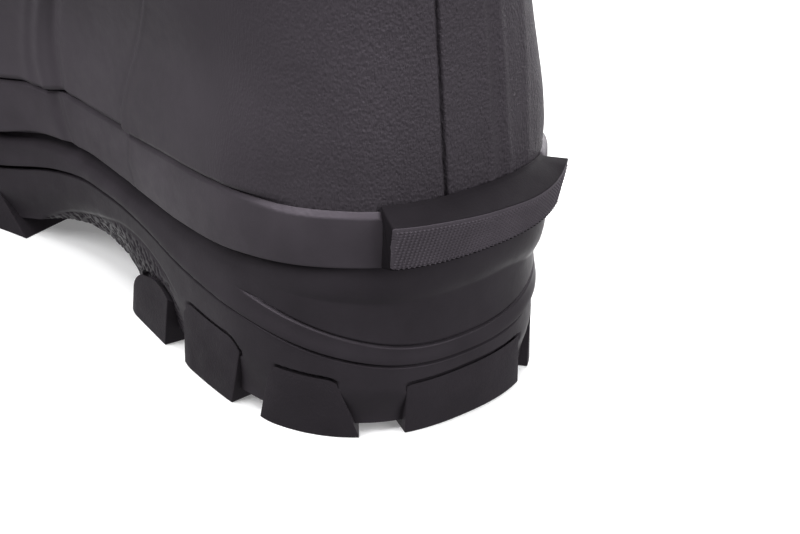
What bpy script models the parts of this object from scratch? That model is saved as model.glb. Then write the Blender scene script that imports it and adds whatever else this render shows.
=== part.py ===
"""Neoprene wellington boot, right foot: rubber sole and foot shell with a neoprene shaft.

All sizes are in millimetres. The tables are measured from the back of the outsole's heel, with x towards
the toe, y towards the inner side of the foot and z up from the floor.
"""
from collections import namedtuple
from math import pi, radians

import bmesh
import bpy
import numpy as np

MM = 0.001
GAP = 0.3
FEATHER_GAP = 0.45
SMOOTH_ANGLE = radians(35)

# Driving sizes of the sole
SOLE_LENGTH = 302.0
BALL_HALF_WIDTH = 51.0
HEEL_ROUND, HEEL_POWER = 43.5, 2.4
TOE_ROUND, TOE_POWER = 62.0, 2.2
SPRING_START, SPRING_RISE, SPRING_POWER = 228.0, 10.0, 1.8
SOLE_POINTS = 76
END_CROWDING = 0.2

# Sole sections: outline, rim line between outsole and midsole, feather line under the upper, cup floor
SoleRow = namedtuple("SoleRow", "x half_width centre_y rim feather floor")
SOLE = [
    SoleRow(0.0, 41.0, 0.0, 17.0, 46.0, 33.0),
    SoleRow(8.0, 41.0, 0.0, 20.0, 46.0, 33.0),
    SoleRow(18.0, 41.0, 0.0, 22.8, 45.2, 33.0),
    SoleRow(30.0, 41.0, 0.0, 25.4, 43.9, 33.0),
    SoleRow(43.5, 41.0, 0.0, 26.8, 42.1, 32.8),
    SoleRow(63.0, 40.2, -0.8, 27.8, 40.4, 32.4),
    SoleRow(80.0, 38.8, -1.8, 27.3, 38.8, 31.8),
    SoleRow(94.0, 37.4, -2.6, 26.3, 37.4, 31.0),
    SoleRow(108.0, 36.2, -3.6, 25.9, 36.3, 30.2),
    SoleRow(120.0, 36.0, -4.6, 26.0, 35.8, 29.6),
    SoleRow(135.0, 37.3, -5.3, 25.2, 34.9, 28.6),
    SoleRow(157.0, 41.5, -5.1, 19.8, 30.6, 24.4),
    SoleRow(180.0, 46.8, -3.6, 16.2, 27.2, 21.0),
    SoleRow(205.0, 50.4, -2.0, 14.4, 25.8, 19.3),
    SoleRow(230.0, 51.0, 0.6, 14.2, 25.5, 19.0),
    SoleRow(260.0, 49.5, 4.0, 16.5, 28.0, 21.5),
    SoleRow(285.0, 47.5, 6.0, 20.5, 32.0, 25.4),
    SoleRow(302.0, 46.0, 7.0, 24.0, 36.0, 29.0),
]

# Underside of the sole between the lugs: heel, raised waist with its step at the heel breast, forefoot
BREAST_BACK, BREAST_FRONT, WAIST_END = 93.5, 97.0, 153.0
TreadRow = namedtuple("TreadRow", "x height")
TREAD = [
    TreadRow(0.0, 2.5), TreadRow(60.0, 4.5), TreadRow(BREAST_BACK, 5.0), TreadRow(BREAST_FRONT, 10.2),
    TreadRow(103.0, 12.0), TreadRow(114.0, 12.7), TreadRow(125.0, 12.0), TreadRow(134.0, 10.0),
    TreadRow(146.0, 6.4), TreadRow(WAIST_END, 4.8), TreadRow(165.0, 4.0), TreadRow(SOLE_LENGTH, 4.0),
]
SIDE_TAPER, RIM_INSET = 2.2, 0.2

# Lugs along the edge: x of both ends at the floor and at the top edge, height of both top corners, and reach
LugRow = namedtuple("LugRow", "low_start low_end top_start top_end z_start z_end reach")
SIDE_LUGS = [
    LugRow(7.4, 30.2, 10.9, 28.2, 15.4, 16.6, 20.0),
    LugRow(39.7, 63.8, 36.0, 63.0, 18.4, 19.2, 18.0),
    LugRow(74.0, 96.0, 71.0, 94.5, 18.6, 13.0, 18.0),
    LugRow(149.7, 174.0, 160.0, 172.5, 13.6, 12.5, 24.0),
    LugRow(184.0, 206.0, 185.5, 204.5, 10.5, 9.5, 24.0),
    LugRow(217.0, 239.0, 218.5, 237.5, 9.5, 9.5, 24.0),
    LugRow(250.0, 270.0, 251.5, 268.5, 10.5, 12.5, 22.0),
]
HEEL_BACK_LUG = LugRow(3.5, 2.3, 3.4, 2.1, 13.4, 13.0, 20.0)
TOE_LUG = LugRow(281.0, 281.0, 283.0, 283.0, 17.0, 17.0, 22.0)
LUG_STEPS = 8
LUG_CORNER_DROP, LUG_CORNER_SHARE = 2.5, 0.4
LUG_ROOT, LUG_SINK = 7.0, 1.2
BarRow = namedtuple("BarRow", "x half_length half_width")
CENTRE_BARS = [
    BarRow(48.0, 9.0, 14.0), BarRow(178.0, 8.0, 17.0), BarRow(203.0, 8.0, 19.0),
    BarRow(228.0, 8.0, 19.0), BarRow(254.0, 7.0, 17.0),
]

# Midsole wall from its underside up: rise above the rim, share of the wall's height, inset from the outline,
# and what the crescent at the heel and the roll at the back add to the inset
WallRow = namedtuple("WallRow", "rise share crescent inset sunk roll")
MIDSOLE_WALL = [
    WallRow(0.0, 0.0, 0.0, 0.2, 0.0, 0.0),
    WallRow(0.8, 0.0, 0.0, -0.7, 0.0, 0.0),
    WallRow(-0.5, 0.0, 1.0, 0.3, -0.9, 0.0),
    WallRow(0.0, 0.0, 1.0, 0.5, 0.6, 0.0),
    WallRow(0.0, 0.66, 0.0, 1.1, 0.0, -3.2),
    WallRow(0.0, 0.88, 0.0, 0.4, 0.0, -3.2),
    WallRow(0.0, 1.0, 0.0, 0.0, 0.0, -2.2),
]
CRESCENT_BACK, CRESCENT_CLIMB = 0.17, 0.25
CRESCENT_END, CRESCENT_FADE = 34.0, 10.0
CUP_WALL, CUP_DRAFT = 7.5, 1.0
INSOLE_THICK, INSOLE_CLEAR = 4.0, 1.6

# Levels of the boot's outer form: ends of each level at the back and the front of the leg or foot
LevelRow = namedtuple("LevelRow", "back_x back_z front_x front_z half_width foot_share sag")
LEVELS = [
    LevelRow(-1.2, 46.0, 298.0, 36.0, 50.2, 1.00, 1.00),
    LevelRow(-2.0, 53.5, 300.6, 45.0, 50.6, 1.00, 1.00),
    LevelRow(-2.0, 61.0, 300.2, 53.0, 50.6, 1.00, 0.96),
    LevelRow(-1.8, 68.0, 295.0, 62.0, 50.2, 0.97, 0.85),
    LevelRow(-1.4, 75.0, 282.0, 70.5, 49.9, 0.90, 0.70),
    LevelRow(-0.6, 83.0, 260.0, 78.5, 49.4, 0.76, 0.50),
    LevelRow(0.4, 92.0, 234.0, 87.0, 49.1, 0.56, 0.30),
    LevelRow(1.6, 102.0, 208.0, 99.0, 48.7, 0.36, 0.15),
    LevelRow(2.8, 113.0, 186.0, 114.0, 47.8, 0.20, 0.05),
    LevelRow(3.7, 126.0, 168.0, 133.0, 46.5, 0.10, 0.00),
    LevelRow(4.1, 141.0, 155.0, 155.0, 45.2, 0.04, 0.00),
    LevelRow(3.6, 158.0, 147.5, 177.0, 44.7, 0.00, 0.00),
    LevelRow(2.2, 178.0, 143.5, 199.0, 45.6, 0.00, 0.00),
    LevelRow(-0.5, 208.0, 141.0, 226.0, 48.4, 0.00, 0.00),
    LevelRow(-3.5, 248.0, 139.5, 260.0, 52.6, 0.00, 0.00),
    LevelRow(-5.5, 300.0, 139.0, 306.0, 56.8, 0.00, 0.00),
    LevelRow(-6.2, 350.0, 139.5, 352.0, 59.8, 0.00, 0.00),
    LevelRow(-6.5, 395.0, 140.0, 395.0, 61.5, 0.00, 0.00),
]
RAND_TOP_LEVEL, SHAFT_LEVEL, TOPLINE_LEVEL = 2.0, 11.0, 12.0
COLLAR_LEVEL = len(LEVELS) - 1.0
OVAL_POWER = 2.2
RAND_ROWS = np.linspace(0.0, RAND_TOP_LEVEL, 5)
UPPER_POINTS, UPPER_ROWS, UPPER_WALL = 60, 14, 2.5
SHAFT_POINTS, SHAFT_ROWS, SHAFT_WALL = 40, 9, 5.0

# Rand: a band round the foot of the upper, lifted at its lower edge and rounded at its top edge
RAND_THICK, RAND_EDGE, RAND_EDGE_LEVELS = 1.2, 0.5, 0.14
RAND_LOW_INSIDE, RAND_LOW_OUTSIDE = 0.03, 0.08

# Kick spur: a wedge on the rand; x of the ends of its seat and of its back face on the outer and inner sides
SPUR_SEAT_OUTER, SPUR_SEAT_INNER = 6.4, 4.9
SPUR_FACE_OUTER, SPUR_FACE_INNER = 7.5, 4.3
SPUR_OUT_TOP, SPUR_OUT_LOW = 5.2, 3.4
SPUR_LOW_LEVEL, SPUR_TOP_LEVEL = 0.06, 1.96
SPUR_FACE_LOW_LEVEL, SPUR_FACE_TOP_LEVEL = 0.26, 1.6
SPUR_STEPS = 14

# Collar binding: tape folded over the shaft's top edge
BINDING_LEVELS, BINDING_THICK, BINDING_ROUND = 0.32, 1.2, 0.4

# The part stands on the floor with its origin under the middle of its box
ORIGIN_X = 146.8


def smooth(places, values, at):
    """Smooth curve through a table's points, held flat beyond its ends."""
    places = np.asarray(places, float)
    values = np.asarray(values, float)
    slopes = np.gradient(values, places)
    at = np.clip(at, places[0], places[-1])
    low = np.clip(np.searchsorted(places, at, side="right") - 1, 0, len(places) - 2)
    span = places[low + 1] - places[low]
    s = (at - places[low]) / span
    start = (1 + 2 * s) * (1 - s) ** 2 * values[low] + s * (1 - s) ** 2 * span * slopes[low]
    end = s ** 2 * (3 - 2 * s) * values[low + 1] + s ** 2 * (s - 1) * span * slopes[low + 1]
    return start + end


def column(table, name):
    return [getattr(row, name) for row in table]


def sole(name, x):
    return smooth(column(SOLE, "x"), column(SOLE, name), x)


def level(name, v):
    return smooth(np.arange(len(LEVELS)), column(LEVELS, name), v)


def ground(x):
    """Height of the lugs' underside: the floor, then the toe spring."""
    forward = np.clip((x - SPRING_START) / (SOLE_LENGTH - SPRING_START), 0, 1)
    return SPRING_RISE * forward ** SPRING_POWER


def tread(x):
    return np.interp(x, column(TREAD, "x"), column(TREAD, "height")) + ground(x)


def foot_half_width(x):
    """Half width of the foot's outline, with its rounded heel and toe."""
    behind = np.clip(1 - x / HEEL_ROUND, 0, 1)
    ahead = np.clip(1 - (SOLE_LENGTH - x) / TOE_ROUND, 0, 1)
    heel = (1 - behind ** HEEL_POWER) ** (1 / HEEL_POWER)
    toe = (1 - ahead ** TOE_POWER) ** (1 / TOE_POWER)
    return sole("half_width", x) * heel * toe


def angles(count):
    """Angles round the foot from the back of the heel, closer together at heel and toe."""
    turn = np.arange(count) / count
    return 2 * pi * turn - END_CROWDING * np.sin(4 * pi * turn) / 2


def angle_at(x, side):
    """Angle of the outline's point at a length along the foot, on the inner (1) or outer (-1) side."""
    return side * np.arccos(1 - 2 * x / SOLE_LENGTH)


def plan(t):
    """Outline of the sole on the floor at angles t: 0 at the heel's back, pi at the toe."""
    x = SOLE_LENGTH * (1 - np.cos(t)) / 2
    y = sole("centre_y", x) + np.sign(np.sin(t)) * foot_half_width(x)
    return np.stack([x, y], axis=-1)


def outline(t, inset, step=0.004):
    """Outline of the sole moved inwards by inset."""
    along = plan(t + step) - plan(t - step)
    along /= np.linalg.norm(along, axis=-1, keepdims=True)
    inward = np.stack([along[..., 1], -along[..., 0]], axis=-1)
    return plan(t) + np.asarray(inset)[..., None] * inward


def sole_ring(t, inset, height):
    """Closed ring round the sole: height is a function of x."""
    flat = outline(t, np.broadcast_to(inset, t.shape))
    return np.column_stack([flat, height(flat[:, 0])])


def sole_angles():
    """Angles for the sole's rings, with points at the heel breast and the end of the waist."""
    extra = [angle_at(x, 1) for x in (BREAST_BACK, BREAST_FRONT, WAIST_END)]
    return np.array(sorted([*angles(SOLE_POINTS), *extra, *(2 * pi - t for t in extra)]))


def leg(v, t):
    """Point of the boot's outer form on level v at angle t round it."""
    share = (1 - np.cos(t)) / 2
    back_x, back_z = level("back_x", v), level("back_z", v)
    front_x, front_z = level("front_x", v), level("front_z", v)
    foot_share = level("foot_share", v)
    along_foot = share * SOLE_LENGTH
    x = back_x + (front_x - back_x) * share
    feather_start, feather_end = SOLE[0].feather, SOLE[-1].feather
    dip = sole("feather", x) - (feather_start + (feather_end - feather_start) * share)
    oval = (1 - np.abs(2 * share - 1) ** OVAL_POWER) ** (1 / OVAL_POWER)
    foot = foot_half_width(along_foot) / BALL_HALF_WIDTH
    half_width = level("half_width", v) * (foot_share * foot + (1 - foot_share) * oval)
    y = foot_share * sole("centre_y", along_foot) + np.sign(np.sin(t)) * half_width
    z = back_z + (front_z - back_z) * share + level("sag", v) * dip
    return np.stack([x, y, z], axis=-1)


def form(v, t, out=0.0, step=0.01):
    """Point at a distance out from the boot's outer form."""
    v, t = np.broadcast_arrays(np.asarray(v, float), np.asarray(t, float))
    upwards = leg(np.clip(v + step, 0, COLLAR_LEVEL), t) - leg(np.clip(v - step, 0, COLLAR_LEVEL), t)
    around = leg(v, t + step) - leg(v, t - step)
    normal = np.cross(upwards, around)
    normal /= np.linalg.norm(normal, axis=-1, keepdims=True)
    return leg(v, t) + np.asarray(out)[..., None] * normal


def material(name, colour, roughness):
    """Plain finish for one sub-part."""
    mat = bpy.data.materials.new(name)
    mat.use_nodes = True
    shader = mat.node_tree.nodes["Principled BSDF"]
    shader.inputs["Base Color"].default_value = (*colour, 1.0)
    shader.inputs["Roughness"].default_value = roughness
    shader.inputs["Metallic"].default_value = 0.0
    return mat


def collection(name):
    group = bpy.data.collections.new(name)
    bpy.context.scene.collection.children.link(group)
    return group


def cap_faces(ring):
    """Strip of faces across a ring, from its first point to the point opposite."""
    count = len(ring)
    half = count // 2
    faces = [(ring[0], ring[1], ring[-1])]
    for i in range(1, half - 1):
        faces.append((ring[i], ring[i + 1], ring[count - i - 1], ring[count - i]))
    faces.append((ring[half - 1], ring[half], ring[half + 1]))
    return faces


def loft(mesh, rings, join_ends=False, caps=None):
    """Add faces between closed rings of points to a bmesh: caps is None, "strip" or "flat"."""
    verts = [[mesh.verts.new(tuple(point * MM)) for point in ring] for ring in rings]
    pairs = list(zip(verts, verts[1:]))
    if join_ends:
        pairs.append((verts[-1], verts[0]))
    count = len(verts[0])
    for lower, upper in pairs:
        for i in range(count):
            after = (i + 1) % count
            mesh.faces.new((lower[i], upper[i], upper[after], lower[after]))
    if caps == "strip":
        for face in cap_faces(verts[0]) + cap_faces(verts[-1]):
            mesh.faces.new(face)
    if caps == "flat":
        mesh.faces.new(verts[0])
        mesh.faces.new(verts[-1])


def finish(name, mesh, mat, group, parent, closed=True):
    """Turn a bmesh into a named object with its material, shaded smooth."""
    if closed:
        bmesh.ops.recalc_face_normals(mesh, faces=mesh.faces)
    data = bpy.data.meshes.new(name)
    mesh.to_mesh(data)
    mesh.free()
    data.shade_smooth()
    data.set_sharp_from_angle(angle=SMOOTH_ANGLE)
    data.materials.append(mat)
    piece = bpy.data.objects.new(name, data)
    piece.parent = parent
    group.objects.link(piece)
    return piece


def shell(piece, thickness):
    """Give an open surface its wall, inwards."""
    wall = piece.modifiers.new("wall", "SOLIDIFY")
    wall.thickness = thickness * MM
    wall.offset = -1.0
    wall.use_even_offset = True


def lug_angles(start_x, end_x, start_side, end_side):
    """Angles along a lug: one that starts on the inner side and ends on the outer goes round the toe."""
    start = angle_at(start_x, start_side)
    end = angle_at(end_x, end_side)
    if start_side > end_side:
        end += 2 * pi
    return np.linspace(start, end, LUG_STEPS)


def add_lug(mesh, row, start_side, end_side):
    """One lug: a block that follows the sole's edge, slanted at its ends, with rounded top corners."""
    low = lug_angles(row.low_start, row.low_end, start_side, end_side)
    top = lug_angles(row.top_start, row.top_end, start_side, end_side)
    share = np.linspace(0, 1, LUG_STEPS)
    corner = np.clip(np.abs(2 * share - 1) - 1 + LUG_CORNER_SHARE, 0, 1) / LUG_CORNER_SHARE
    top_height = row.z_start + (row.z_end - row.z_start) * share - LUG_CORNER_DROP * corner ** 2
    rings = []
    for low_t, top_t, height in zip(low, top, top_height):
        foot, inner = outline(low_t, 0.0), outline(low_t, row.reach)
        head, root = outline(top_t, 0.0), outline(top_t, LUG_ROOT)
        spring = ground(foot[0])
        rings.append(np.array([
            (*foot, spring),
            (*head, height),
            (*root, height),
            (*inner, tread(inner[0]) + LUG_SINK),
            (*inner, spring),
        ]))
    loft(mesh, rings, caps="flat")


def add_bar(mesh, row):
    """One bar in the middle of the tread."""
    low, high = ground(row.x), tread(row.x) + LUG_SINK
    bar = bmesh.ops.create_cube(mesh, size=2.0)["verts"]
    half_size = np.array([row.half_length, row.half_width, (high - low) / 2]) * MM
    centre = np.array([row.x, sole("centre_y", row.x), (low + high) / 2]) * MM
    bmesh.ops.scale(mesh, vec=half_size, verts=bar)
    bmesh.ops.translate(mesh, vec=centre, verts=bar)


def make_lugs(mat, cutters, parent):
    """All lugs of the tread, to be joined to the sole."""
    mesh = bmesh.new()
    for row in SIDE_LUGS:
        for side in (1, -1):
            add_lug(mesh, row, side, side)
    add_lug(mesh, HEEL_BACK_LUG, -1, 1)
    add_lug(mesh, TOE_LUG, 1, -1)
    for row in CENTRE_BARS:
        add_bar(mesh, row)
    lugs = finish("tread_lugs", mesh, mat, cutters, parent)
    lugs.hide_render = True
    lugs.display_type = "WIRE"
    return lugs


def make_outsole(parts, cutters, parent):
    """Cleated outsole: a tapered slab under the rim line, joined with its lugs."""
    mat = material("outsole_rubber", (0.022, 0.021, 0.022), 0.62)
    t = sole_angles()
    mesh = bmesh.new()
    underside = sole_ring(t, SIDE_TAPER, tread)
    rim = sole_ring(t, RIM_INSET, lambda x: sole("rim", x))
    loft(mesh, [underside, rim], caps="strip")
    outsole = finish("outsole", mesh, mat, parts, parent)
    union = outsole.modifiers.new("lugs", "BOOLEAN")
    union.operation = "UNION"
    union.solver = "EXACT"
    union.object = make_lugs(mat, cutters, parent)


def midsole_ring(t, row):
    """One ring of the midsole's wall."""
    x = plan(t)[:, 0]
    heel = np.clip((CRESCENT_END - x) / CRESCENT_FADE, 0, 1)
    behind = np.clip(1 - x / HEEL_ROUND, 0, 1)

    def height(at):
        low = sole("rim", at) + GAP
        wall = sole("feather", at) - FEATHER_GAP - low
        crescent = CRESCENT_BACK + CRESCENT_CLIMB * np.clip(at / CRESCENT_END, 0, 1)
        return low + row.rise + (row.share + row.crescent * crescent) * wall

    return sole_ring(t, row.inset + row.sunk * heel + row.roll * behind, height)


def make_midsole(parts, parent):
    """Cup-shaped midsole: coved wall with a lip, a sunk crescent at the heel and a floor for the insole."""
    mat = material("midsole_rubber", (0.026, 0.025, 0.027), 0.5)
    t = sole_angles()
    rings = [midsole_ring(t, row) for row in MIDSOLE_WALL]
    rings.append(sole_ring(t, CUP_WALL, lambda x: sole("feather", x) - FEATHER_GAP))
    rings.append(sole_ring(t, CUP_WALL + CUP_DRAFT, lambda x: sole("floor", x)))
    mesh = bmesh.new()
    loft(mesh, rings, caps="strip")
    finish("midsole", mesh, mat, parts, parent)


def make_insole(parts, parent):
    """Loose footbed in the midsole's cup."""
    mat = material("insole_felt", (0.09, 0.09, 0.095), 0.9)
    t = sole_angles()
    inset = CUP_WALL + INSOLE_CLEAR
    underside = sole_ring(t, inset, lambda x: sole("floor", x) + GAP)
    top = sole_ring(t, inset, lambda x: sole("floor", x) + GAP + INSOLE_THICK)
    mesh = bmesh.new()
    loft(mesh, [underside, top], caps="strip")
    finish("insole", mesh, mat, parts, parent)


def make_upper(parts, parent):
    """Hollow rubber foot shell, open at the top line and underneath."""
    mat = material("upper_rubber", (0.035, 0.033, 0.036), 0.55)
    t = angles(UPPER_POINTS)
    rows = [*RAND_ROWS, *np.linspace(RAND_TOP_LEVEL, TOPLINE_LEVEL, UPPER_ROWS)[1:]]
    mesh = bmesh.new()
    loft(mesh, [form(v, t) for v in rows])
    shell(finish("upper", mesh, mat, parts, parent, closed=False), UPPER_WALL)


def make_rand(parts, parent):
    """Raised band round the foot of the upper, with a rounded top edge."""
    mat = material("rand_rubber", (0.042, 0.04, 0.043), 0.5)
    t = angles(UPPER_POINTS)
    inside, outside = GAP, GAP + RAND_THICK
    middle = RAND_ROWS[1:-1]
    section = [(RAND_LOW_INSIDE, inside), (RAND_LOW_OUTSIDE, outside)]
    section += [(v, outside) for v in middle]
    section += [(RAND_TOP_LEVEL - RAND_EDGE_LEVELS, outside), (RAND_TOP_LEVEL, outside - RAND_EDGE)]
    section += [(RAND_TOP_LEVEL, inside)]
    section += [(v, inside) for v in reversed(middle)]
    mesh = bmesh.new()
    loft(mesh, [form(v, t, out) for v, out in section], join_ends=True)
    finish("rand", mesh, mat, parts, parent)


def make_kick_spur(parts, parent):
    """Wedge-shaped lug across the back of the heel."""
    mat = material("spur_rubber", (0.03, 0.029, 0.031), 0.65)
    seat = GAP + RAND_THICK + GAP
    seat_angles = np.linspace(angle_at(SPUR_SEAT_OUTER, -1), angle_at(SPUR_SEAT_INNER, 1), SPUR_STEPS)
    face_angles = np.linspace(angle_at(SPUR_FACE_OUTER, -1), angle_at(SPUR_FACE_INNER, 1), SPUR_STEPS)
    rings = []
    for seat_t, face_t in zip(seat_angles, face_angles):
        rings.append(np.array([
            form(SPUR_LOW_LEVEL, seat_t, seat),
            form(SPUR_FACE_LOW_LEVEL, face_t, seat + SPUR_OUT_LOW),
            form(SPUR_FACE_TOP_LEVEL, face_t, seat + SPUR_OUT_TOP),
            form(SPUR_TOP_LEVEL, seat_t, seat),
            *[form(v, seat_t, seat) for v in reversed(RAND_ROWS[1:-1])],
        ]))
    mesh = bmesh.new()
    loft(mesh, rings, caps="flat")
    finish("kick_spur", mesh, mat, parts, parent)


def make_shaft(parts, parent):
    """Neoprene leg, tucked into the rubber shell at the ankle."""
    mat = material("shaft_neoprene", (0.03, 0.03, 0.032), 0.8)
    t = angles(SHAFT_POINTS)
    rows = np.linspace(SHAFT_LEVEL, COLLAR_LEVEL, SHAFT_ROWS)
    mesh = bmesh.new()
    loft(mesh, [form(v, t, -UPPER_WALL - GAP) for v in rows])
    shell(finish("shaft", mesh, mat, parts, parent, closed=False), SHAFT_WALL)


def make_collar_binding(parts, parent):
    """Tape folded over the top edge of the shaft."""
    mat = material("binding_tape", (0.02, 0.02, 0.021), 0.75)
    t = angles(SHAFT_POINTS)
    outer = -UPPER_WALL
    inner = outer - GAP - SHAFT_WALL - GAP
    low, high = COLLAR_LEVEL - BINDING_LEVELS, COLLAR_LEVEL
    cover = np.array([0.0, 0.0, GAP])
    crown = np.array([0.0, 0.0, GAP + BINDING_THICK])
    mesh = bmesh.new()
    loft(mesh, [
        form(low, t, outer),
        form(low, t, outer + BINDING_THICK),
        form(high, t, outer + BINDING_THICK),
        form(high, t, outer - BINDING_ROUND) + crown,
        form(high, t, inner + BINDING_ROUND) + crown,
        form(high, t, inner - BINDING_THICK),
        form(low, t, inner - BINDING_THICK),
        form(low, t, inner),
        form(high, t, inner) + cover,
        form(high, t, outer) + cover,
    ], join_ends=True)
    finish("collar_binding", mesh, mat, parts, parent)


def main():
    for old in list(bpy.data.objects):
        bpy.data.objects.remove(old, do_unlink=True)
    parts = collection("wellington_boot")
    cutters = collection("cutters")
    origin = bpy.data.objects.new("boot_origin", None)
    origin.location = (-ORIGIN_X * MM, 0.0, 0.0)
    parts.objects.link(origin)
    make_outsole(parts, cutters, origin)
    make_midsole(parts, origin)
    make_insole(parts, origin)
    make_upper(parts, origin)
    make_rand(parts, origin)
    make_kick_spur(parts, origin)
    make_shaft(parts, origin)
    make_collar_binding(parts, origin)


main()
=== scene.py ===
from collections import namedtuple
from math import pi, radians

import bmesh
import bpy
import numpy as np
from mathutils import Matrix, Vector


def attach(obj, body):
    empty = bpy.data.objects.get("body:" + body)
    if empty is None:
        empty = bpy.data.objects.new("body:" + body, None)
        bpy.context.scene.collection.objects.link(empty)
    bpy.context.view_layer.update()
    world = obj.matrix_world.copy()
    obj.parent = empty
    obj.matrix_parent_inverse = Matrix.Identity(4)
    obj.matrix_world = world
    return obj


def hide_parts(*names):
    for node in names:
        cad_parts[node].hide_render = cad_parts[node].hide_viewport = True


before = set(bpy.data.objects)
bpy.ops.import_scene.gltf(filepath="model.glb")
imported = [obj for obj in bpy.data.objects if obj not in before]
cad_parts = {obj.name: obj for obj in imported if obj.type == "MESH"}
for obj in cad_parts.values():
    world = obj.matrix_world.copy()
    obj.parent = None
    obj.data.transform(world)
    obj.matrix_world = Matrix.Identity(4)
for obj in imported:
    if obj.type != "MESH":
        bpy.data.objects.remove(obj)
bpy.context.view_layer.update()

MM = 0.001
ORIGIN_X = 146.8
GAP = 0.3
FEATHER_GAP = 0.45
SMOOTH_ANGLE = radians(50)
FINE_END = 1.75


def table(fields, *rows):
    """Rows of values with named fields."""
    row = namedtuple("Row", fields)
    return [row(*values) for values in rows]


# Driving sizes of the sole
SOLE_LENGTH = 302.0
BALL_HALF_WIDTH = 51.0
HEEL_ROUND, HEEL_POWER = 43.5, 2.4
TOE_ROUND, TOE_POWER = 62.0, 2.2
SPRING_START, SPRING_RISE, SPRING_POWER = 228.0, 10.0, 1.8

# Sole sections: outline, rim line between outsole and midsole, feather line under the upper, cup floor
SOLE = table(
    "x half_width centre_y rim feather floor",
    (0.0, 41.0, 0.0, 17.0, 46.0, 33.0),
    (8.0, 41.0, 0.0, 20.0, 46.0, 33.0),
    (18.0, 41.0, 0.0, 22.8, 45.2, 33.0),
    (30.0, 41.0, 0.0, 25.4, 43.9, 33.0),
    (43.5, 41.0, 0.0, 26.6, 42.1, 32.8),
    (63.0, 40.2, -0.8, 27.6, 40.4, 32.4),
    (80.0, 38.8, -1.8, 29.2, 38.8, 31.8),
    (94.0, 37.4, -2.6, 29.4, 37.4, 31.0),
    (108.0, 36.2, -3.6, 28.3, 36.3, 30.2),
    (120.0, 36.0, -4.6, 27.4, 35.8, 29.6),
    (135.0, 37.3, -5.3, 25.0, 34.9, 28.6),
    (157.0, 41.5, -5.1, 19.6, 30.6, 24.4),
    (180.0, 46.8, -3.6, 16.2, 27.2, 21.0),
    (205.0, 50.4, -2.0, 14.4, 25.8, 19.3),
    (230.0, 51.0, 0.6, 14.2, 25.5, 19.0),
    (260.0, 49.5, 4.0, 16.5, 28.0, 21.5),
    (285.0, 47.5, 6.0, 20.5, 32.0, 25.4),
    (302.0, 46.0, 7.0, 24.0, 36.0, 29.0),
)

# Underside of the sole between the lugs: heel, raised waist with its step at the heel breast, forefoot
BREAST_BACK, BREAST_FRONT, WAIST_END = 93.5, 97.0, 153.0
TREAD = table(
    "x height",
    (0.0, 2.5), (60.0, 4.5), (BREAST_BACK, 5.0), (BREAST_FRONT, 10.2), (103.0, 12.0), (114.0, 12.7),
    (125.0, 12.0), (134.0, 10.0), (146.0, 6.4), (WAIST_END, 4.8), (165.0, 4.0), (SOLE_LENGTH, 4.0),
)
SIDE_TAPER, RIM_INSET, SIDE_FLUSH = 2.2, 0.05, 0.65
SIDE_ROWS, RIM_ROWS, RIM_ROWS_START = 74, 6, 0.97

# Lugs along the edge: x of both ends at the floor and at the top edge, height of both top corners, reach
# inwards, how far the rear and front top corners round off and from where, and how far the front end turns in
LUG_FIELDS = "low_start low_end top_start top_end z_start z_end reach rear_drop front_drop share turn"
SIDE_LUGS = table(
    LUG_FIELDS,
    (7.4, 30.2, 10.9, 27.0, 15.4, 16.2, 20.0, 0.8, 2.2, 0.3, 0.6),
    (39.7, 63.8, 36.0, 63.0, 18.4, 19.2, 18.0, 2.6, 3.6, 0.4, 0.6),
    (74.0, 96.0, 71.0, 94.5, 18.6, 13.0, 18.0, 4.0, 6.0, 0.8, 0.8),
    (149.7, 174.0, 160.0, 172.5, 13.6, 12.5, 24.0, 0.5, 2.5, 0.4, 0.6),
    (184.0, 206.0, 185.5, 204.5, 10.5, 9.5, 24.0, 2.5, 2.5, 0.4, 0.6),
    (217.0, 239.0, 218.5, 237.5, 9.5, 9.5, 24.0, 2.5, 2.5, 0.4, 0.6),
    (250.0, 270.0, 251.5, 268.5, 10.5, 12.5, 22.0, 2.5, 2.5, 0.4, 0.6),
)
HEEL_BACK_LUG, TOE_LUG = table(
    LUG_FIELDS,
    (3.5, 2.3, 3.4, 2.1, 13.4, 13.0, 20.0, 0.3, 0.3, 0.1, 0.0),
    (281.0, 281.0, 283.0, 283.0, 17.0, 17.0, 22.0, 2.5, 2.5, 0.3, 0.0),
)
LUG_STEPS, LUG_TURN_SHARE = 40, 0.8
LUG_ROOT, LUG_ROOT_DROP, LUG_SINK = 3.0, 2.1, 1.2
LUG_BEVEL, LUG_BEVEL_STEPS, LUG_SHARP = 0.5, 3, radians(30)
CENTRE_BARS = table(
    "x half_length half_width",
    (48.0, 9.0, 14.0), (178.0, 8.0, 17.0), (203.0, 8.0, 19.0), (228.0, 8.0, 19.0), (254.0, 7.0, 17.0),
)

# Grooves over the lugs; ends and fades are shares of a lug's length
GROOVE_DEPTH, GROOVE_LOW, GROOVE_HIGH = 1.3, 0.275, 0.825
GROOVE_START, GROOVE_END, GROOVE_TURNED_END, GROOVE_FADE = 0.04, 1.04, 0.92, 0.12

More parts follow.
